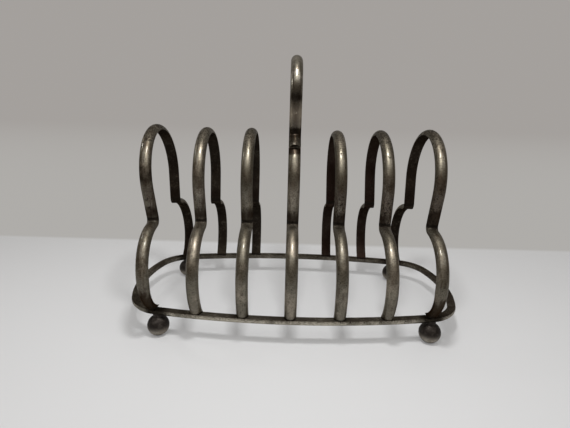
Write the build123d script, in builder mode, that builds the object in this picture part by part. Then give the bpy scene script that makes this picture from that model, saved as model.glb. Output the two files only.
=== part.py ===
from build123d import *

import os
from math import asin, cos, degrees, radians, sin, sqrt

# Toast rack: seven club-shaped hoops of half-round wire stand on an oval base ring.
# The ring rests on four ball feet and a loop handle stands on the middle hoop.
# Everything is soldered, so no piece moves. Millimetres, +Z up, X along the rack,
# origin on the table under the middle of the ring.

# ---------------------------------------------------------------- driving sizes

# The half-round wire that the hoops and the handle are bent from
wire_width = 5.2  # across the flat
wire_depth = 2.5  # from the flat to the crown

# Base ring, of round wire with a flat top, measured along the middle of its flat
ring_wire_width = 3.4  # across the flat
ring_wire_depth = 2.6
ring_width = 72.7
ring_overhang = 15.7  # from an end hoop's place to the middle of the ring's end
ring_side_bow = 7.0  # how far each long side bulges
ring_end_bow = 7.3  # how far each end bulges
ring_corner_radius = 16.0

# Hoops: six slots, set by hand, so each hoop stands a little off its place and leans
hoop_offsets = (-0.7, -0.7, -1.2, -1.4, -0.9, -0.9, -1.0)  # along the rack
hoop_leans = (-3.05, 0.0, 0.4, 0.0, -1.1, -1.6, 0.9)  # degrees
hoop_rises = (0.4, -0.5, -0.3, 0.0, -0.5, 0.1, 0.9)  # how far each arch stands above its place
hoop_inset = 0.1  # from the outer edge of the ring's flat to the crown of a hoop's foot
slot_pitch = 20.5
end_slot_pitch = 19.2

# Hoop outline, measured on the flat inner side of the wire, from the ring up
arch_radius = 20.4
arch_centre_height = 53.3
neck_lean = 10.0  # degrees that the arch closes in towards the waist
neck_length = 12.2
waist_radius = 3.1
shoulder_fall = 9.8  # degrees that the shoulder drops as it leaves the waist
shoulder_run = 2.5
lobe_overhang = 1.85  # how far the lower lobe stands outside the middle of the ring's flat
end_foot_width = 2.8  # the end hoops' front feet are filed narrower, to clear the ring's corners

# Loop handle, measured on the flat inner side of the wire
handle_radius = 12.0
handle_height = 31.2  # from the top of the arch to the top of the loop
handle_lean = 4.0  # degrees that the loop closes in below its arch
handle_bend_radius = 3.4
handle_foot_reach = 16.1  # from the middle to the end of each foot's flat
handle_seat = 0.4  # how deep the feet are filed to fit over the arch

# Ball feet, each held by a collar of solder that is hollowed to fit the ring
ball_diameter = 9.4
foot_inset = 0.7  # from an end hoop's place towards the middle
front_foot_shift = 0.4  # each pair was set by hand, a little off the middle of the ring
back_foot_shift = -1.9
collar_diameter = 4.0
collar_gap = 0.3  # from the crown of the ring down to the top of the ball
collar_rise = 1.0  # how far the solder climbs up the ring's round side
worn_flat_diameter = 3.0  # the flat worn where the ball stands

foot_overrun = 4.0  # degrees that each hoop's bent foot runs past its cut
foot_allowance = 4.0  # straight wire past that, all cut off flush

# ---------------------------------------------------------------- worked out

ball_radius = ball_diameter / 2
ball_height = sqrt(ball_radius**2 - (worn_flat_diameter / 2) ** 2)
ring_underside = ball_height + ball_radius + collar_gap
ring_top = ring_underside + ring_wire_depth

middle = len(hoop_leans) // 2
hoop_reach = (middle - 1) * slot_pitch + end_slot_pitch
ring_length = 2 * (hoop_reach + ring_overhang)
corner_x = ring_length / 2 - ring_end_bow
side_bow_radius = (corner_x**2 + ring_side_bow**2) / (2 * ring_side_bow)

arch_top = arch_centre_height + arch_radius


def hoop_x(index):
    """Where a hoop stands along the rack; the two end slots have their own pitch."""
    steps = index - middle
    place = steps * slot_pitch
    if abs(steps) == middle:
        place = hoop_reach if steps > 0 else -hoop_reach
    return place + hoop_offsets[index]


def ring_side_y(x):
    """Distance of the ring's long side from the middle of the rack at x."""
    return ring_width / 2 - side_bow_radius + sqrt(side_bow_radius**2 - x**2)


def wire_section(path, across, width, depth):
    """Half-round section at the start of a path, its flat lying along across."""
    half = width / 2
    with BuildSketch(Plane(path @ 0, x_dir=across, z_dir=path % 0)) as section:
        with BuildLine():
            Line((-half, 0), (half, 0))
            ThreePointArc((half, 0), (0, depth), (-half, 0))
        make_face()
    return section.sketch


def upright(x, lean):
    """Plane of a hoop: local X runs across the rack and local Y runs up the hoop."""
    turn = radians(lean)
    return Plane((x, 0, ring_top), x_dir=(0, 1, 0), z_dir=(cos(turn), 0, -sin(turn)))


# ---------------------------------------------------------------- base ring


def make_base_ring():
    corner_y = ring_width / 2 - ring_side_bow
    with BuildSketch(Plane.XY.offset(ring_top)) as outline:
        with BuildLine():
            side = ThreePointArc((-corner_x, corner_y), (0, ring_width / 2), (corner_x, corner_y))
            end = ThreePointArc((corner_x, corner_y), (ring_length / 2, 0), (corner_x, -corner_y))
            mirror(side, about=Plane.XZ)
            mirror(end, about=Plane.YZ)
        make_face()
        fillet(outline.vertices(), ring_corner_radius)
    path = outline.sketch.face().outer_wire()
    across = (path % 0).cross(Vector(0, 0, 1))
    with BuildPart() as ring:
        sweep(sections=wire_section(path, across, ring_wire_width, ring_wire_depth), path=path)
    return ring


# ---------------------------------------------------------------- hoops


def make_hoop(x, lean, rise, front_foot_width):
    place = upright(x, lean)
    # The shoulder spreads to the lobe's width, which follows the ring's. From there
    # the side arc curls in until the crown lands just inside the outer edge of the
    # ring's flat, whatever the ring's width is at this hoop.
    waist_turn = 90 + neck_lean - shoulder_fall
    lobe_half_width = ring_width / 2 + lobe_overhang
    landing = ring_side_y(x) + ring_wire_width / 2 - hoop_inset
    with BuildPart() as hoop:
        with BuildLine(place) as half_path:
            arch = JernArc((0, arch_top + rise), place.x_dir, arch_radius, -90 - neck_lean)
            neck = Line(arch @ 1, arch @ 1 + (arch % 1) * (neck_length + rise))
            waist = JernArc(neck @ 1, neck % 1, waist_radius, waist_turn)
            run = Line(waist @ 1, waist @ 1 + (waist % 1) * shoulder_run)
            run_end = place.to_local_coords(run @ 1)
            shoulder_radius = (lobe_half_width - run_end.X) / (1 - sin(radians(shoulder_fall)))
            shoulder = JernArc(run @ 1, run % 1, shoulder_radius, shoulder_fall - 90)
            drop = place.to_local_coords(shoulder @ 1).Y
            curl = lobe_half_width + wire_depth - landing
            crown_radius = (curl**2 + drop**2) / (2 * curl)
            side_turn = degrees(asin(drop / crown_radius)) + foot_overrun
            side = JernArc(shoulder @ 1, shoulder % 1, crown_radius - wire_depth, -side_turn)
            Line(side @ 1, side @ 1 + (side % 1) * foot_allowance)
        path = half_path.line
        sweep(sections=wire_section(path, -place.z_dir, wire_width, wire_depth), path=path)
        split(bisect_by=Plane.XY.offset(ring_top), keep=Keep.TOP)
        mirror(about=Plane.XZ)
        if front_foot_width < wire_width:
            # Each side is filed flat, from the lobe's widest place down to the foot
            widest = place.origin + place.y_dir * drop - place.x_dir * lobe_half_width
            taper = (wire_width - front_foot_width) / 2 / drop
            above_flat = (Align.CENTER, Align.CENTER, Align.MIN)
            for facing in (-1, 1):
                edge = widest + place.z_dir * facing * wire_width / 2
                outward = place.z_dir * facing - place.y_dir * taper
                with Locations(Plane(edge, x_dir=place.x_dir, z_dir=outward)):
                    Box(lobe_half_width, 3 * drop, wire_width, align=above_flat, mode=Mode.SUBTRACT)
    return hoop


# ---------------------------------------------------------------- loop handle


def make_handle(middle_hoop):
    place = upright(hoop_x(middle), hoop_leans[middle])
    loop_centre = arch_top + handle_height - handle_radius
    # Below its arch each side runs straight down to a bend that rolls onto a circle
    # about the hoop's arch. The straight is as long as that bend needs.
    seat_radius = arch_radius + wire_depth - handle_seat
    lean = radians(handle_lean)
    along = Vector(-sin(lean), -cos(lean))
    outward = Vector(cos(lean), -sin(lean))
    start = outward * (handle_radius + handle_bend_radius)
    start += Vector(0, loop_centre - arch_centre_height)
    reach = seat_radius + handle_bend_radius
    drop = -start.dot(along)
    straight = drop - sqrt(drop**2 - start.dot(start) + reach**2)
    bend_centre = start + along * straight
    foot_angle = degrees(asin(bend_centre.X / reach))
    foot_turn = degrees(asin(handle_foot_reach / seat_radius)) - foot_angle
    with BuildPart() as handle:
        with BuildLine(place) as half_path:
            top = (0, loop_centre + handle_radius)
            arch = JernArc(top, place.x_dir, handle_radius, -90 - handle_lean)
            side = Line(arch @ 1, arch @ 1 + (arch % 1) * straight)
            bend_turn = 90 + handle_lean - foot_angle
            bend = JernArc(side @ 1, side % 1, handle_bend_radius, bend_turn)
            JernArc(bend @ 1, bend % 1, seat_radius, -foot_turn)
        path = half_path.line
        sweep(sections=wire_section(path, -place.z_dir, wire_width, wire_depth), path=path)
        mirror(about=Plane.XZ)
        add(middle_hoop.part, mode=Mode.SUBTRACT)
    return handle


# ---------------------------------------------------------------- ball feet


def make_foot(x, y, ring):
    collar_height = ring_underside + collar_rise - ball_height
    with BuildPart() as foot:
        with Locations((x, y, ball_height)):
            Sphere(ball_radius)
            above = (Align.CENTER, Align.CENTER, Align.MIN)
            Cylinder(collar_diameter / 2, collar_height, align=above)
        split(bisect_by=Plane.XY, keep=Keep.TOP)
        add(ring.part, mode=Mode.SUBTRACT)
    return foot


# ---------------------------------------------------------------- the rack

os.makedirs("parts", exist_ok=True)


def save(piece, name):
    piece.part.label = name
    export_step(piece.part, f"parts/{name}.step")


base_ring = make_base_ring()
save(base_ring, "base_ring")

hoops = []
for index, (lean, rise) in enumerate(zip(hoop_leans, hoop_rises)):
    front_foot_width = end_foot_width if abs(index - middle) == middle else wire_width
    hoops.append(make_hoop(hoop_x(index), lean, rise, front_foot_width))
    save(hoops[index], f"hoop_{index + 1}")

loop_handle = make_handle(hoops[middle])
save(loop_handle, "loop_handle")

foot_reach = hoop_reach - foot_inset
for side, facing, shift in (("front", -1, front_foot_shift), ("back", 1, back_foot_shift)):
    for end, x in (("left", shift - foot_reach), ("right", shift + foot_reach)):
        save(make_foot(x, facing * ring_side_y(x), base_ring), f"foot_{side}_{end}")
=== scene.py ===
# %% [markdown]
# # A silver-plated toast rack, gone dark with age
#
# The rack is seven club-shaped hoops of half-round wire. They stand on an oval ring
# with ball feet, and a loop handle tops the middle hoop. Its shape is finished before
# this script starts: every piece arrives in its place, in metres, with the table at
# height zero. What is left is the look: a plated surface that was buffed on the
# outside, never reached by the cloth on the inside, and tarnished everywhere.

# %% Load the pieces
import math
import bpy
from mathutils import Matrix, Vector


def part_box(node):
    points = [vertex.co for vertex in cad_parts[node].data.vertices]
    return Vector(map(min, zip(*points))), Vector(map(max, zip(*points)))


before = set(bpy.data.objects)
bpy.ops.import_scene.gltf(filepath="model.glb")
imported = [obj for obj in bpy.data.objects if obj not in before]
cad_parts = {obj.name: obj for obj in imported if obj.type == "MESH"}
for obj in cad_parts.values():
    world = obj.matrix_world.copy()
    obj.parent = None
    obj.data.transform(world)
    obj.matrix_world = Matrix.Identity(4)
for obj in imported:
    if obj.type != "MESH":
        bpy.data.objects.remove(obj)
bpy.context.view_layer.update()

from types import SimpleNamespace

import bmesh
import bpy
from mathutils import Matrix, Vector

hoop_names = sorted(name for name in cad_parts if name.startswith("hoop_"))
foot_names = sorted(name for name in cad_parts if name.startswith("foot_"))
print("pieces:", len(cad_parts), "hoops:", len(hoop_names), "feet:", len(foot_names))

# %% [markdown]
# ## Measure what the finishes need
#
# Tarnish follows the shape. It is darkest round the soldered feet, and the crease at
# each waist is darkened with dirt and painted shade, so the finishes need a few
# heights. They could be typed in, but measured on the pieces they stay right if a size
# changes. The waist is where the middle hoop's outline is narrowest between its two
# lobes, so the hoop is cut into thin level slices and the narrowest slice is taken.

# %% Measure the heights
mm = 0.001
slice_height = 0.6 * mm
search_from, search_to = 0.35, 0.65  # shares of a hoop's height, well round the waist


def half_width(node, low, high):
    """How far the node reaches from the middle between two heights."""
    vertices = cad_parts[node].data.vertices
    return max((v.co.y for v in vertices if low < v.co.z < high), default=0.0)


ring_low, ring_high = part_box("base_ring")
middle_low, middle_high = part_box("hoop_4")
ring_top, arch_top = ring_high.z, middle_high.z
slices = (arch_top - ring_top) / slice_height

widths = {}
for number in range(int(search_from * slices), int(search_to * slices)):
    height = ring_top + number * slice_height
    width = half_width("hoop_4", height - slice_height, height + slice_height)
    if width > 0:
        widths[height] = width

waist_height = min(widths, key=widths.get)
upper_centre = (waist_height + arch_top) / 2
lower_centre = (waist_height + ring_top) / 2
print(f"waist {waist_height / mm:.1f} mm up, {widths[waist_height] / mm:.1f} mm out")
print(f"ring {(ring_high.x - ring_low.x) / mm:.1f} mm long,"
      f" middle hoop {(middle_high.y - middle_low.y) / mm:.1f} mm wide")

# %% [markdown]
# ## Write shader sums as plain Python
#
# A shader is a graph of nodes, and wiring each Math node by hand hides the idea. A
# small class can wrap a socket instead, so that `1 - mask * 0.5` adds its own Math
# nodes. Only the operators that these finishes use are here. Adding nothing and
# multiplying by one make no node, so a mark that a piece lacks leaves no trace.

# %% A socket that does sums
class Field:
    """A shader value that can be added, multiplied and compared."""

    def __init__(self, finish, socket):
        self.finish = finish
        self.socket = socket

    def maths(self, operation, *values):
        return self.finish.node("ShaderNodeMath", {"operation": operation}, *values)

    def __add__(self, other):
        return self.maths("ADD", self, other) if other != 0 else self

    def __sub__(self, other):
        return self.maths("SUBTRACT", self, other)

    def __rsub__(self, other):
        return self.maths("SUBTRACT", other, self)

    def __mul__(self, other):
        return self.maths("MULTIPLY", self, other) if other != 1 else self

    def __abs__(self):
        return self.maths("ABSOLUTE", self)

    __radd__ = __add__
    __rmul__ = __mul__

    def over(self, threshold):
        """One where the value is above the threshold, else zero."""
        return self.maths("GREATER_THAN", self, threshold)


print("sums ready: + - * abs over")

# %% [markdown]
# ## Write a finish like a recipe
#
# Every other node comes from one method. It takes the node's type, its settings and
# what goes into its sockets, which is either a plain value or another node's output.
# Some nodes hide the sockets that their settings don't use, so it counts only those
# that are enabled. The short methods under it name the nodes that the rack's finishes
# are made of: the place on the piece, the way the surface faces, noise, a soft step and
# a mix of colours. The patterns start from the piece's own coordinates, so they stay on
# the metal from whatever side the rack is seen.

# %% A node tree in a few words
class Finish:
    """The node tree of one material, or of the world."""

    def __init__(self, owner):
        owner.use_nodes = True
        self.tree = owner.node_tree
        self.tree.nodes.clear()

    def connect(self, target, value):
        if isinstance(value, Field):
            self.tree.links.new(value.socket, target)
        else:
            target.default_value = value

    def node(self, kind, settings, *values, output=None, **named):
        """Adds a node. Values go to its sockets in order, or by name with _ for a space."""
        made = self.tree.nodes.new(kind)
        for key, value in settings.items():
            setattr(made, key, value)
        for target, value in zip((s for s in made.inputs if s.enabled), values):
            self.connect(target, value)
        for key, value in named.items():
            self.connect(made.inputs[key.replace("_", " ")], value)
        if output is not None:
            return Field(self, made.outputs[output])
        results = [s for s in made.outputs if s.enabled]
        return Field(self, results[0]) if results else made

    def place(self):
        return self.node("ShaderNodeTexCoord", {}, output="Object")

    def normal(self):
        return self.node("ShaderNodeNewGeometry", {}, output="Normal")

    def part_of(self, vector, axis):
        return self.node("ShaderNodeSeparateXYZ", {}, vector, output=axis)

    def moved(self, vector, shift):
        return self.node("ShaderNodeMapping", {}, vector, Location=(shift, 0.0, 0.0))

    def scaled(self, vector, scale):
        return self.node("ShaderNodeMapping", {}, vector, Scale=scale)

    def noise(self, vector, per_metre, detail=3.0, rough=0.5):
        return self.node("ShaderNodeTexNoise", {}, Vector=vector, Scale=per_metre,
                         Detail=detail, Roughness=rough)

    def between(self, value, low, high):
        """A soft step: zero below low, one above high."""
        settings = {"interpolation_type": "SMOOTHSTEP"}
        return self.node("ShaderNodeMapRange", settings, value, low, high, 0.0, 1.0)

    def until(self, value, low, high):
        """The reverse: one below low, zero above high."""
        return 1 - self.between(value, low, high)

    def mix(self, share, first, second):
        """The first colour with a share of the second laid over it."""
        return self.node("ShaderNodeMix", {"data_type": "RGBA"}, share, first, second)

    def maximum(self, first, second):
        return self.node("ShaderNodeMath", {"operation": "MAXIMUM"}, first, second)

    def vector_maths(self, operation, *values):
        return self.node("ShaderNodeVectorMath", {"operation": operation}, *values)


def colour(red, green, blue):
    return (red, green, blue, 1.0)


def swing(noise, amount):
    """Noise that takes away as much as it adds."""
    return (noise - 0.5) * amount


print("recipe ready:", ", ".join(word for word in vars(Finish) if not word.startswith("_")))

# %% [markdown]
# ## Say where a mark sits
#
# Most marks on the rack run level round a wire: the dirt and painted shade in a waist,
# the stain on an arch, the painted reflection round the grip. They could be painted on,
# but a band says the same in three numbers: its height, how far it fades up and down,
# and how strong it is. Solder leaves its mark round a point, so that one is a distance.

# %% Masks from heights and points
def band(height, fade, strength=1.0):
    """A level mark: where it is, how far it fades up and down, and how strong it is."""
    return (height, fade, strength)


def banded(finish, place, bands):
    """The strength of all the bands together."""
    total = 0.0
    for height, fade, strength in bands:
        away = abs(finish.part_of(place, "Z") - height)
        total = total + finish.until(away, 0.0, fade) * strength
    return total


def near_points(finish, place, points, near, far):
    """One close to any of the points, fading to zero between the two distances."""
    total = 0.0
    for point in points:
        away = finish.vector_maths("DISTANCE", place, point)
        total = finish.maximum(total, finish.until(away, near, far))
    return total


print("masks ready: bands and points")

# %% [markdown]
# ## Find the side that was never buffed
#
# The flat side of the wire is inside every loop, where a polishing wheel can't reach,
# so it is the darkest. Its faces could be marked one by one, but the normal already
# tells them from the rest: the flat side of a hoop faces the middle of its own lobe, at
# every point of the hoop. Where the flat side faces up, on the ledge inside each waist,
# it is painted a little paler, as painted light from above. On the ring, the flat side
# looks up, and the side that faces the middle of the rack is nearly as dull.

# %% Masks from the way a surface faces
ledge_reach = 8 * mm
# How much paler the ledge is painted, as painted light from above.
ledge_painted_light = 0.75
ring_inside_share = 0.8


def facing(finish, direction):
    """How squarely the surface faces a direction, from -1 to 1."""
    direction = finish.vector_maths("NORMALIZE", direction)
    return finish.vector_maths("DOT_PRODUCT", finish.normal(), direction)


def flat_of_hoop(finish, place):
    """One on the flat side of a hoop's wire, zero on its round side."""
    y, z = finish.part_of(place, "Y"), finish.part_of(place, "Z")
    centre = z.over(waist_height) * (upper_centre - lower_centre) + lower_centre
    to_centre = finish.node("ShaderNodeCombineXYZ", {}, 0.0, 0.0 - y, centre - z)
    # The ledge faces up inside the waist, so it gets less dark tarnish, as painted light from
    # above.
    ledge = finish.between(finish.part_of(finish.normal(), "Z"), 0.15, 0.75)
    ledge = ledge * banded(finish, place, [band(waist_height, ledge_reach)])
    return finish.between(facing(finish, to_centre), 0.25, 0.5) * (1 - ledge * ledge_painted_light)


def flat_of_ring(finish, place):
    """One on the ring's flat top, and most of one on the side that faces its middle."""
    to_middle = finish.scaled(place, (-0.5, -1.0, 0.0))
    top = finish.between(finish.part_of(finish.normal(), "Z"), 0.9, 0.99)
    inside = finish.between(facing(finish, to_middle), 0.1, 0.5)
    return finish.maximum(top, inside * ring_inside_share)


print("masks ready: the flat sides of the hoops and of the ring")

# %% [markdown]
# ## Choose what differs from piece to piece
#
# Old plate isn't one colour. Where hands and cloths rub, it is a warm silver grey. A
# thin olive film comes first, then a brown one, then burnt stains, and dirt and painted
# shade stay black in the creases. Some bands of the dark colours are painted shade,
# painted shadow and painted dark reflection, and the palest silver is a painted
# highlight and a painted reflection of the table. Those colours are the same all over
# the rack, but every piece took its own knocks. A long list of arguments could say
# how, but one small class with a default for each setting lets a piece name only what
# is special about it.

# %% Colours and settings of the plate
rubbed_silver = colour(0.285, 0.250, 0.195)
# The pale silver of the handle's painted highlight and painted reflection of the table.
painted_sheen_silver = colour(0.74, 0.66, 0.54)
olive_film = colour(0.140, 0.128, 0.095)
brown_film = colour(0.084, 0.057, 0.038)
# Burnt stains, and the bands of painted shade, painted shadow and dark reflection.
burnt_film_and_shade = colour(0.032, 0.023, 0.017)
inner_tarnish = colour(0.012, 0.008, 0.006)
# Dirt in pits and at solder, and dirt with painted shade in the waist creases.
grime_and_shade = colour(0.010, 0.007, 0.005)


class Plate:
    """How the plate on one piece looks."""

    silver = rubbed_silver
    roughness = 0.41  # of the bare silver
    film = 0.5  # how far the tarnish has gone all over, from 0 to 1
    flat_side = None  # the mask of the side that was never buffed
    flat_shade = inner_tarnish
    flat_wear = 0.12  # how much silver shows through on the flat side
    dark_right = 0.0  # how much darker the right end is
    creases = ()  # bands of dirt, and of painted shade in the waist's crease
    stains_and_shade = ()  # bands of burnt film, and of painted shade, shadow and dark reflection
    pits = ()  # bands where pits crowd
    browned = ()  # bands of brown film
    painted_sheen = ()  # bands of painted highlight and painted reflection
    soldered = ()  # points that were heated and went black

    def __init__(self, **settings):
        vars(self).update(settings)


print("a plain plate has film", Plate().film, "and roughness", Plate().roughness)

# %% [markdown]
# ## Make the tarnish irregular
#
# Tarnish grows in clouds and patches, creeps along the wire in streaks, and bites in
# small specks. Painted pictures could show that, but noise needs no unwrapping and
# never repeats. Each noise is as coarse as one thing on the real metal. The streaks are
# noise squeezed from the sides, so that they run up and down. The shift moves all of it
# sideways, so that no two pieces are alike.

# %% Noise for the plate
streak_squeeze = (14.0, 14.0, 1.0)


def plate_noise(finish, place, shift):
    """The noises of one piece, each with its features per metre, detail and roughness."""
    moved = finish.moved(place, shift)
    return SimpleNamespace(
        clouds=finish.noise(moved, 75.0, 4.0, 0.6),
        patches=finish.noise(moved, 260.0, 5.0, 0.65),
        streaks=finish.noise(finish.scaled(moved, streak_squeeze), 90.0, 3.0),
        grain=finish.noise(moved, 1900.0, 3.0, 0.6),
        specks=finish.noise(moved, 1250.0, 2.0, 0.4))


print("noises ready: clouds, patches, streaks, grain and specks")

# %% [markdown]
# ## Turn noise and bands into masks
#
# A mask says how much of a layer there is at each place. A soft step cuts it out of the
# noise, and the lower the step, the more metal it covers, so more film means lower
# steps. A band is added to the noise before the step. Multiplied with the mask
# afterwards, it would only fade. Added before, it breaks up at its edges, as real
# tarnish does.

# %% Masks of the plate
solder_near, solder_far = 3.4 * mm, 7.2 * mm


def crease_mask(finish, place, noise, creases):
    """One in the ragged line of dirt and painted shade along each crease."""
    total = 0.0
    for crease in creases:
        ragged = banded(finish, place, [crease]) + swing(noise.patches, 0.5)
        total = finish.maximum(total, finish.between(ragged, 0.35, 0.85))
    return total


def plate_masks(finish, place, noise, plate):
    """How much there is of each film and mark."""
    crowd = banded(finish, place, plate.pits)
    clouded = noise.clouds + noise.patches * 0.35
    toned = noise.patches * 0.6 + noise.streaks * 0.5 + banded(finish, place, plate.browned) * 0.3
    pitted = noise.specks + swing(noise.clouds, 0.25) + crowd * 0.15
    # Stain bands, among them painted shade, painted shadow and painted dark reflection.
    stained_and_shaded = banded(finish, place, plate.stains_and_shade)
    stained_and_shaded = stained_and_shaded + swing(noise.patches, 0.9) + swing(noise.streaks, 0.5)
    drop = 0.2 * plate.film  # more film, lower steps
    return SimpleNamespace(
        olive=finish.between(clouded, 0.62 - drop, 0.80 - drop),
        brown=finish.between(toned, 0.66 - drop, 0.78 - drop / 2),
        burnt_and_shade=finish.between(stained_and_shaded, 0.35, 1.0),
        pits=finish.between(pitted, 0.68, 0.74),
        pebbles=finish.between(noise.grain, 0.44, 0.62) * (0.42 + crowd * 0.5),
        crease=crease_mask(finish, place, noise, plate.creases),
        solder=near_points(finish, place, plate.soldered, solder_near, solder_far),
        painted_sheen=banded(finish, place, plate.painted_sheen),
        inner=plate.flat_side(finish, place) if plate.flat_side else 0.0)


print("masks ready: films, pits, pebbles, creases, solder and the flat side")

# %% [markdown]
# ## Lay the films over the silver
#
# The colour is built up layer by layer. Silver comes first, then the films, whose stain
# bands include painted shade, painted shadow and painted dark reflection, then the flat
# side that nobody reached. Fine dark pebbles, pits and dirt follow, with painted shade in
# the waist creases, and last the handle's painted highlight and painted reflection of
# the table. All of it could be one long sum, but as shares and colours in a list, the
# order is easy to read and change. A layer that a piece lacks is left out.

# %% Colour of the plate
right_start, right_full = 42 * mm, 66 * mm


def plate_colour(finish, place, noise, mask, plate):
    """The colour of the plate, layer by layer."""
    layers = [(mask.olive * 0.8, olive_film), (mask.brown * 0.7, brown_film),
              (mask.burnt_and_shade * 0.92, burnt_film_and_shade)]
    if plate.flat_side:
        worn = finish.between(noise.patches * 0.5 + noise.specks * 0.5, 0.50, 0.62)
        unworn = 1.02 - noise.patches * 0.2 - worn * plate.flat_wear
        layers.append((mask.inner * unworn, plate.flat_shade))
    # The ring's colour is made darker towards its right end.
    if plate.dark_right:
        along = finish.part_of(place, "X") + swing(noise.clouds, 20 * mm)
        right_end = finish.between(along, right_start, right_full)
        layers.append((right_end * plate.dark_right, burnt_film_and_shade))
    layers += [(mask.pebbles, burnt_film_and_shade), (mask.pits * 0.7, grime_and_shade)]
    # The creases hold dirt, and painted shade in the waist's crease.
    if plate.creases:
        layers.append((mask.crease * 0.9, grime_and_shade))
    if plate.soldered:
        layers.append((mask.solder * (1.1 - noise.patches * 0.4), grime_and_shade))
    # Last, the handle's painted highlight and painted reflection of the table.
    if plate.painted_sheen:
        layers.append((mask.painted_sheen, painted_sheen_silver))
    shade = plate.silver
    for share, film in layers:
        shade = finish.mix(share, shade, film)
    return shade


print("films ready, from silver to what hands have rubbed")

# %% [markdown]
# ## Give the metal its gloss
#
# Tarnish is dull, so each film adds a little roughness, and the hoops are a little
# duller below the waist. The relief is only a tenth of a millimetre deep, but it breaks
# up the long highlights. One roughness can't give both the soft glow of old silver and
# the narrow core inside it. A thin coat lies over the metal for the core, like the last
# of the polish, and it is missing where there are stains, painted shade, pits and dirt.
# A dull tint at the edges keeps the rims from shining white.

# %% Finish of a plated piece
dull_edge = colour(0.36, 0.33, 0.28)
coat_strength = 0.5
coat_roughness = 0.16
relief_depth = 0.12 * mm


def plate_roughness(finish, place, noise, mask, plate):
    """How dull the metal is: films, the flat side, dirt and painted crease shade add to it."""
    height = finish.part_of(place, "Z")
    below_waist = finish.until(height, waist_height - 6 * mm, waist_height)
    films = mask.brown * 0.07 + mask.olive * 0.03 + mask.inner * 0.16
    dirt_and_shade = mask.pits * 0.2 + mask.crease * 0.25
    return plate.roughness + films + dirt_and_shade + swing(noise.grain, 0.10) + below_waist * 0.06


def plated_metal(name, shift, plate):
    """The material of one plated piece."""
    material = bpy.data.materials.new(name)
    finish = Finish(material)
    place = finish.place()
    noise = plate_noise(finish, place, shift)
    mask = plate_masks(finish, place, noise, plate)
    relief = noise.patches * 0.3 + noise.grain * 0.3 - mask.pits * 0.8
    clean = (1 - mask.inner) * (1 - mask.crease) * (1 - mask.solder)
    coat = clean * (1 - mask.pits) * (1 - mask.burnt_and_shade) * coat_strength
    surface = finish.node(
        "ShaderNodeBsdfPrincipled", {},
        Base_Color=plate_colour(finish, place, noise, mask, plate),
        Roughness=plate_roughness(finish, place, noise, mask, plate),
        Metallic=1 - mask.crease * 0.4 - mask.pits * 0.2,
        Normal=finish.node("ShaderNodeBump", {}, Strength=0.22, Distance=relief_depth,
                           Height=relief),
        Coat_Weight=coat, Coat_Roughness=coat_roughness, Specular_Tint=dull_edge)
    finish.node("ShaderNodeOutputMaterial", {}, surface)
    return material


print("plated finish ready, relief", relief_depth / mm, "mm")

# %% [markdown]
# ## Decide where the hoops are marked
#
# Every foot has a dark line where solder and dirt sit, and every waist a dark line of
# dirt and painted shade in its crease. The necks and the tops of the arches are
# stained. The end hoops were cleaned least, so their feet are stained as well. The
# middle hoop is darkened below the handle's feet as a painted shadow, with some
# tarnish, and the first hoop has a painted dark reflection of the room across its upper
# lobe. These bands could be written where they are used, but with names of their own
# they read as a description of the rack.

# %% Marks on the hoops
handle_low, handle_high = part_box("loop_handle")
# The waist's dark line is dirt and painted shade in the crease.
waist_crease = band(waist_height - 0.5 * mm, 1.9 * mm)
foot_crease = band(ring_top, 1.6 * mm)
arch_stain = band(arch_top, 7 * mm, 0.58)
arch_pits = band(arch_top, 12 * mm, 1.1)
neck_stain = band(waist_height + 2 * mm, 8 * mm, 0.95)
# A painted dark reflection of the room across the first hoop's upper lobe.
left_dark_reflection = band(waist_height + 20 * mm, 13 * mm, 0.72)
right_neck_stain = band(waist_height + 5 * mm, 9 * mm, 0.35)
end_foot_stain = band(ring_top + 1 * mm, 24 * mm, 1.3)
# A painted shadow of the handle's feet on the middle hoop, with some tarnish.
handle_shadow_and_stain = band(handle_low.z - 1 * mm, 2.8 * mm, 1.3)
own_stains_and_shade = {"hoop_1": [end_foot_stain, left_dark_reflection], "hoop_4": [handle_shadow_and_stain],
              "hoop_7": [end_foot_stain, right_neck_stain]}
print("hoops with stains of their own:", ", ".join(own_stains_and_shade))

# %% [markdown]
# ## Dress the hoops
#
# Every hoop gets its own material. They differ in how far the film has gone, in how
# worn the flat side is and in how crowded the pits in the neck are, and two on the
# right have gone reddish inside. One material for all would be shorter, but then the
# same cloud would sit at the same height on each.

# %% Dress the hoops
hoop_shift = 0.37  # metres that the noise moves from one hoop to the next
red_tarnish = colour(0.016, 0.006, 0.005)
reddened = ("hoop_5", "hoop_6")
hoop_wear = {  # film, wear of the flat side, crowd of pits in the neck
    "hoop_1": (0.85, 0.38, 0.2),
    "hoop_2": (0.5, 0.22, 0.25),
    "hoop_3": (0.4, 0.18, 0.2),
    "hoop_4": (0.35, 0.1, 0.2),
    "hoop_5": (0.4, 0.06, 0.7),
    "hoop_6": (0.3, 0.1, 0.9),
    "hoop_7": (0.6, 0.28, 0.7),
}


def dress(node, material):
    """Gives a piece its material."""
    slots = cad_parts[node].data.materials
    slots.clear()
    slots.append(material)


for number, name in enumerate(hoop_names):
    film, flat_wear, pit_crowd = hoop_wear[name]
    neck_pits = band(waist_height + 6 * mm, 16 * mm, pit_crowd)
    neck_brown = band(waist_height + 11 * mm, 16 * mm, pit_crowd)
    dress(name, plated_metal(f"{name}_plate", hoop_shift * number, Plate(
        film=film, flat_side=flat_of_hoop, flat_wear=flat_wear,
        flat_shade=red_tarnish if name in reddened else inner_tarnish,
        creases=[waist_crease, foot_crease],
        stains_and_shade=[neck_stain, arch_stain] + own_stains_and_shade.get(name, []),
        pits=[arch_pits, neck_pits], browned=[neck_brown])))
print("hoops dressed:", len(hoop_names))

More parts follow.
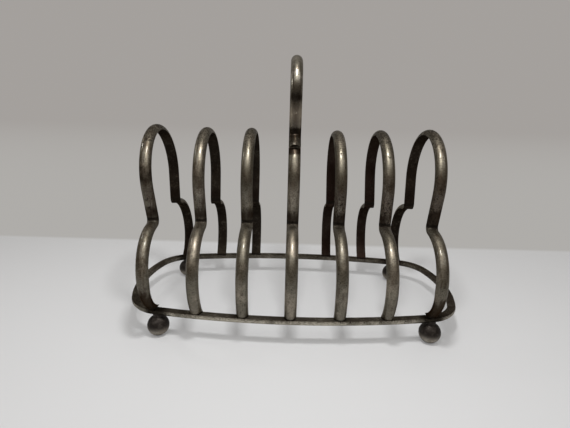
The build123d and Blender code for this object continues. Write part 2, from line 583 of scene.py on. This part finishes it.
# %% [markdown]
# ## Dress the ring
#
# The ring's round side is polished by use, but its flat top and its inner side are
# dull, and its colour is darker towards its right end. The heat of soldering has left
# it black round each foot. A level band would blacken the whole ring there, so that
# mark is a distance from the middle of each foot's top, found from the foot's own box.

# %% Dress the ring
ring_silver = colour(0.52, 0.485, 0.40)
ring_flat = colour(0.060, 0.051, 0.042)
ring_pits = band(ring_top, 2 * mm, 0.5)
ring_shift = 3.1


def solder_point(name):
    """Where a foot's solder meets the ring."""
    low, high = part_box(name)
    return ((low.x + high.x) / 2, (low.y + high.y) / 2, high.z)


solder_points = [solder_point(name) for name in foot_names]
dress("base_ring", plated_metal("ring_plate", ring_shift, Plate(
    silver=ring_silver, film=0.15, flat_side=flat_of_ring, flat_shade=ring_flat, flat_wear=0.5,
    dark_right=0.35, pits=[ring_pits], soldered=solder_points)))
print("ring dressed, solder points:", len(solder_points))

# %% [markdown]
# ## Dress the handle
#
# The handle is the piece that hands touch, so it is the brightest, and both its sides
# are worn alike. A pale band round the grip is a painted reflection of the white table,
# and a bright edge round the lower end of its feet is a painted highlight. Between them
# a dark band on the loop is a painted dark reflection of the room, the bend above the
# feet is darkened as painted shade, and the feet are stained brown and pitted. It could
# have a shader of its own, but bands on the same plate say all of that.

# %% Dress the handle
handle_silver = colour(0.50, 0.465, 0.40)
handle_shift = 4.3
# A painted reflection of the white table round the grip.
grip_painted_reflection = band(handle_high.z - 24.7 * mm, 6 * mm, 0.8)
# A painted highlight along the lower edge of the handle's feet.
foot_edge_painted_highlight = band(handle_low.z + 0.3 * mm, 0.8 * mm, 0.8)
# A painted dark reflection of the room across the loop.
side_dark_reflection = band(handle_high.z - 17.2 * mm, 4.5 * mm, 0.8)
# Painted shade in the bend above the handle's feet.
bend_shade = band(handle_low.z + 6.6 * mm, 3.5 * mm, 1.2)
foot_stain = band(handle_low.z + 3 * mm, 5 * mm, 0.72)
foot_pits = band(handle_low.z + 3 * mm, 6 * mm)
dress("loop_handle", plated_metal("handle_plate", handle_shift, Plate(
    silver=handle_silver, roughness=0.285, film=0.3, stains_and_shade=[side_dark_reflection, bend_shade, foot_stain],
    pits=[foot_pits], painted_sheen=[grip_painted_reflection, foot_edge_painted_highlight])))
print(f"handle dressed, from {handle_low.z / mm:.1f} to {handle_high.z / mm:.1f} mm up")

# %% [markdown]
# ## Blacken the ball feet
#
# Dust and soot from soldering lie on the upper half of each ball, and no cloth gets
# under the ring. So the balls are black and dull above, and olive grey underneath,
# where the table rubs them. One mask by height makes that, with noise added so that
# its edge isn't level.

# %% Dress the feet
ball_olive = colour(0.40, 0.37, 0.32)
ball_brown = colour(0.22, 0.195, 0.16)
ball_black = colour(0.022, 0.017, 0.014)
black_start, black_full = 2.2 * mm, 5.4 * mm
ball_relief_depth = 0.15 * mm
first_ball_shift, ball_shift = 5.0, 0.53


def blackened_ball(name, shift):
    """The material of one ball foot."""
    material = bpy.data.materials.new(name)
    finish = Finish(material)
    place = finish.place()
    moved = finish.moved(place, shift)
    patches = finish.noise(moved, 560.0, 4.0, 0.6)
    grain = finish.noise(moved, 1700.0, 3.0, 0.6)
    uneven = finish.part_of(place, "Z") + swing(patches, 4 * mm)
    above = finish.between(uneven, black_start, black_full)
    mottle = finish.between(patches, 0.42, 0.62)
    shade = finish.mix(mottle, ball_brown, ball_olive)
    shade = finish.mix(above * (1 - mottle * 0.07), shade, ball_black)
    relief = finish.node("ShaderNodeBump", {}, Strength=0.4, Distance=ball_relief_depth,
                         Height=patches * 0.6 + grain * 0.4)
    surface = finish.node("ShaderNodeBsdfPrincipled", {}, Base_Color=shade,
                          Roughness=0.46 + above * 0.12 + swing(grain, 0.12),
                          Metallic=1 - above * 0.3, Normal=relief)
    finish.node("ShaderNodeOutputMaterial", {}, surface)
    return material


for number, name in enumerate(foot_names):
    dress(name, blackened_ball(f"{name}_plate", first_ball_shift + ball_shift * number))
print("feet dressed:", len(foot_names), "materials in all:", len(bpy.data.materials))

# %% [markdown]
# ## Lay the floor
#
# The rack stands on a plain white table top, and a plain warm grey wall rises a little
# way behind it. A real wall would hide the rack from behind, so one large sheet stands
# for both. Behind the table's far edge it has the flat grey of the room around it.

# %% A sheet for the table top
floor_size = 6.0


def make_floor():
    mesh = bpy.data.meshes.new("floor")
    sheet = bmesh.new()
    bmesh.ops.create_grid(sheet, x_segments=2, y_segments=2, size=floor_size / 2)
    sheet.to_mesh(mesh)
    sheet.free()
    floor = bpy.data.objects.new("floor", mesh)
    bpy.context.scene.collection.objects.link(floor)
    return floor


floor = make_floor()
print("floor laid,", floor_size, "m square")

# %% [markdown]
# ## Finish the floor
#
# The table has to take the rack's shadow, so most of it is a white surface that the
# lamps light. A small share glows by itself, but only as seen directly, which keeps the
# white even between the hoops. Polished metal also shows where a table ends. To a
# reflected ray, the sheet is white only as far as the near edge, and dark beyond, like
# the room behind the viewer.

# %% White table, grey wall
table_front, table_back = -180 * mm, 84 * mm
wall_end = 1.4  # metres back, where the wall's paler foot has faded out
glow_share = 0.22
table_white = colour(0.680, 0.689, 0.703)
table_worn = colour(0.70, 0.70, 0.70)
table_glow = colour(0.73, 0.737, 0.745)
wall_grey = colour(0.372, 0.352, 0.335)
wall_low = colour(0.428, 0.416, 0.398)
room_dark = colour(0.046, 0.038, 0.031)


def floor_finish():
    """White as far as the table goes, and wall grey behind it."""
    material = bpy.data.materials.new("table_top")
    finish = Finish(material)
    place = finish.place()
    depth = finish.part_of(place, "Y")
    seen = finish.node("ShaderNodeLightPath", {}, output="Is Camera Ray")
    behind = finish.between(depth, table_back - 2 * mm, table_back + 6 * mm)
    ahead = finish.until(depth, table_front - 10 * mm, table_front)
    shade = finish.mix(finish.noise(place, 9.0, 2.0) * 0.06, table_white, table_worn)
    shade = finish.mix(ahead * (1 - seen), shade, room_dark)
    shade = finish.mix(behind, shade, wall_grey)
    wall = finish.mix(finish.between(depth, table_back, wall_end), wall_low, wall_grey)
    lit = finish.node("ShaderNodeBsdfPrincipled", {}, Base_Color=shade, Roughness=0.55)
    glow = finish.node("ShaderNodeEmission", {}, finish.mix(behind, table_glow, wall), 1.0)
    share = seen * (behind * (1 - glow_share) + glow_share)
    surface = finish.node("ShaderNodeMixShader", {}, share, lit, glow)
    finish.node("ShaderNodeOutputMaterial", {}, surface)
    return material


floor.data.materials.append(floor_finish())
print(f"table {(table_back - table_front) / mm:.0f} mm deep")

# %% [markdown]
# ## Hang the lamps
#
# Polished metal shows its lamps more than it shows its own colour. A small lamp close
# above the front gives each arch its narrow bright core, and the rack its crisp shadow.
# A wide, window-like one further out gives the soft glow round that core and most of
# the light on the table. A tiny one on the left gives the second, fainter glint on each
# left edge. A single big lamp would be simpler, but it would smear core and glow into
# one, and the shadows would be gone.

# %% Hang the lamps
lamp_aim = Vector((0.0, 0.0, 0.05))
lamp_white = (1.0, 0.992, 0.980)


def add_lamp(name, azimuth, elevation, distance, width, height, power):
    """A rectangular lamp that looks at the rack. Azimuth 0 is in front, 90 on its right."""
    turn, rise = math.radians(azimuth), math.radians(elevation)
    direction = Vector((math.sin(turn) * math.cos(rise), -math.cos(turn) * math.cos(rise),
                        math.sin(rise)))
    light = bpy.data.lights.new(name, "AREA")
    light.shape = "RECTANGLE"
    light.size = width
    light.size_y = height
    light.energy = power
    light.color = lamp_white
    lamp = bpy.data.objects.new(name, light)
    lamp.rotation_euler = direction.to_track_quat("Z", "Y").to_euler()
    lamp.location = lamp_aim + direction * distance
    bpy.context.scene.collection.objects.link(lamp)
    return lamp


lamps = [
    add_lamp("near_lamp", 1, 66, distance=0.21, width=0.030, height=0.030, power=0.29),
    add_lamp("window", 7, 54, distance=0.50, width=1.10, height=0.28, power=1.50),
    add_lamp("side_glint", -93, 30, distance=0.20, width=0.018, height=0.018, power=0.022),
]
print("lamps:", ", ".join(lamp.name for lamp in lamps))

# %% [markdown]
# ## Light the room
#
# Where no lamp shows in the metal, the room does. It has a pale ceiling, it is pale
# behind the rack and dark behind the viewer, so that the wire goes from pale to dark as
# it turns. A picture of a room could stand for it, but three colours and two soft steps
# are enough for wire this thin. Seen directly, the room is the plain grey of the wall.

# %% Light the room
room_front = colour(0.095, 0.069, 0.051)
room_back = colour(0.36, 0.35, 0.335)
room_ceiling = colour(0.56, 0.54, 0.51)


def make_room():
    world = bpy.data.worlds.new("room")
    bpy.context.scene.world = world
    finish = Finish(world)
    direction = finish.node("ShaderNodeTexCoord", {}, output="Generated")
    back = finish.between(finish.part_of(direction, "Y"), -0.1, 0.5)
    ceiling = finish.between(finish.part_of(direction, "Z"), 0.80, 0.95)
    shade = finish.mix(back, room_front, room_back)
    shade = finish.mix(ceiling, shade, room_ceiling)
    seen = finish.node("ShaderNodeLightPath", {}, output="Is Camera Ray")
    room = finish.node("ShaderNodeBackground", {}, finish.mix(seen, shade, wall_grey), 1.0)
    finish.node("ShaderNodeOutputWorld", {}, room)
    return world


room = make_room()
bpy.context.scene.view_settings.view_transform = "Standard"
print("room lit:", room.name)

# %% [markdown]
# ## Set the camera
#
# The camera is close, about 15 cm in front of the rack, so the near hoops look larger
# than the far ones. It looks down a little. It could be pointed at a target, but three
# angles also give the small roll of a camera held by hand: a slight turn to the left,
# the downward tilt, and the roll.

# %% Set the camera
camera_place = Vector((-0.0037, -0.1869, 0.1014))
camera_turn = math.radians(0.38)
camera_tilt = math.radians(16.09)
camera_roll = math.radians(1.45)
lens_length, sensor_width = 25.41, 36.0  # in millimetres
nearest_seen = 10 * mm


def set_camera():
    data = bpy.data.cameras.new("camera")
    data.lens = lens_length
    data.sensor_width = sensor_width
    data.clip_start = nearest_seen
    camera = bpy.data.objects.new("camera", data)
    turn = Matrix.Rotation(camera_turn, 4, "Z")
    tilt = Matrix.Rotation(math.pi / 2 - camera_tilt, 4, "X")
    roll = Matrix.Rotation(camera_roll, 4, "Z")
    camera.matrix_world = Matrix.Translation(camera_place) @ turn @ tilt @ roll
    bpy.context.scene.collection.objects.link(camera)
    bpy.context.scene.camera = camera
    return camera


camera = set_camera()
print("camera at", [round(v, 4) for v in camera.location])

# %% [markdown]
# ## Leave the size alone
#
# A finish mustn't change the rack's size. The materials above only colour the pieces,
# and nothing after loading moves or scales them.
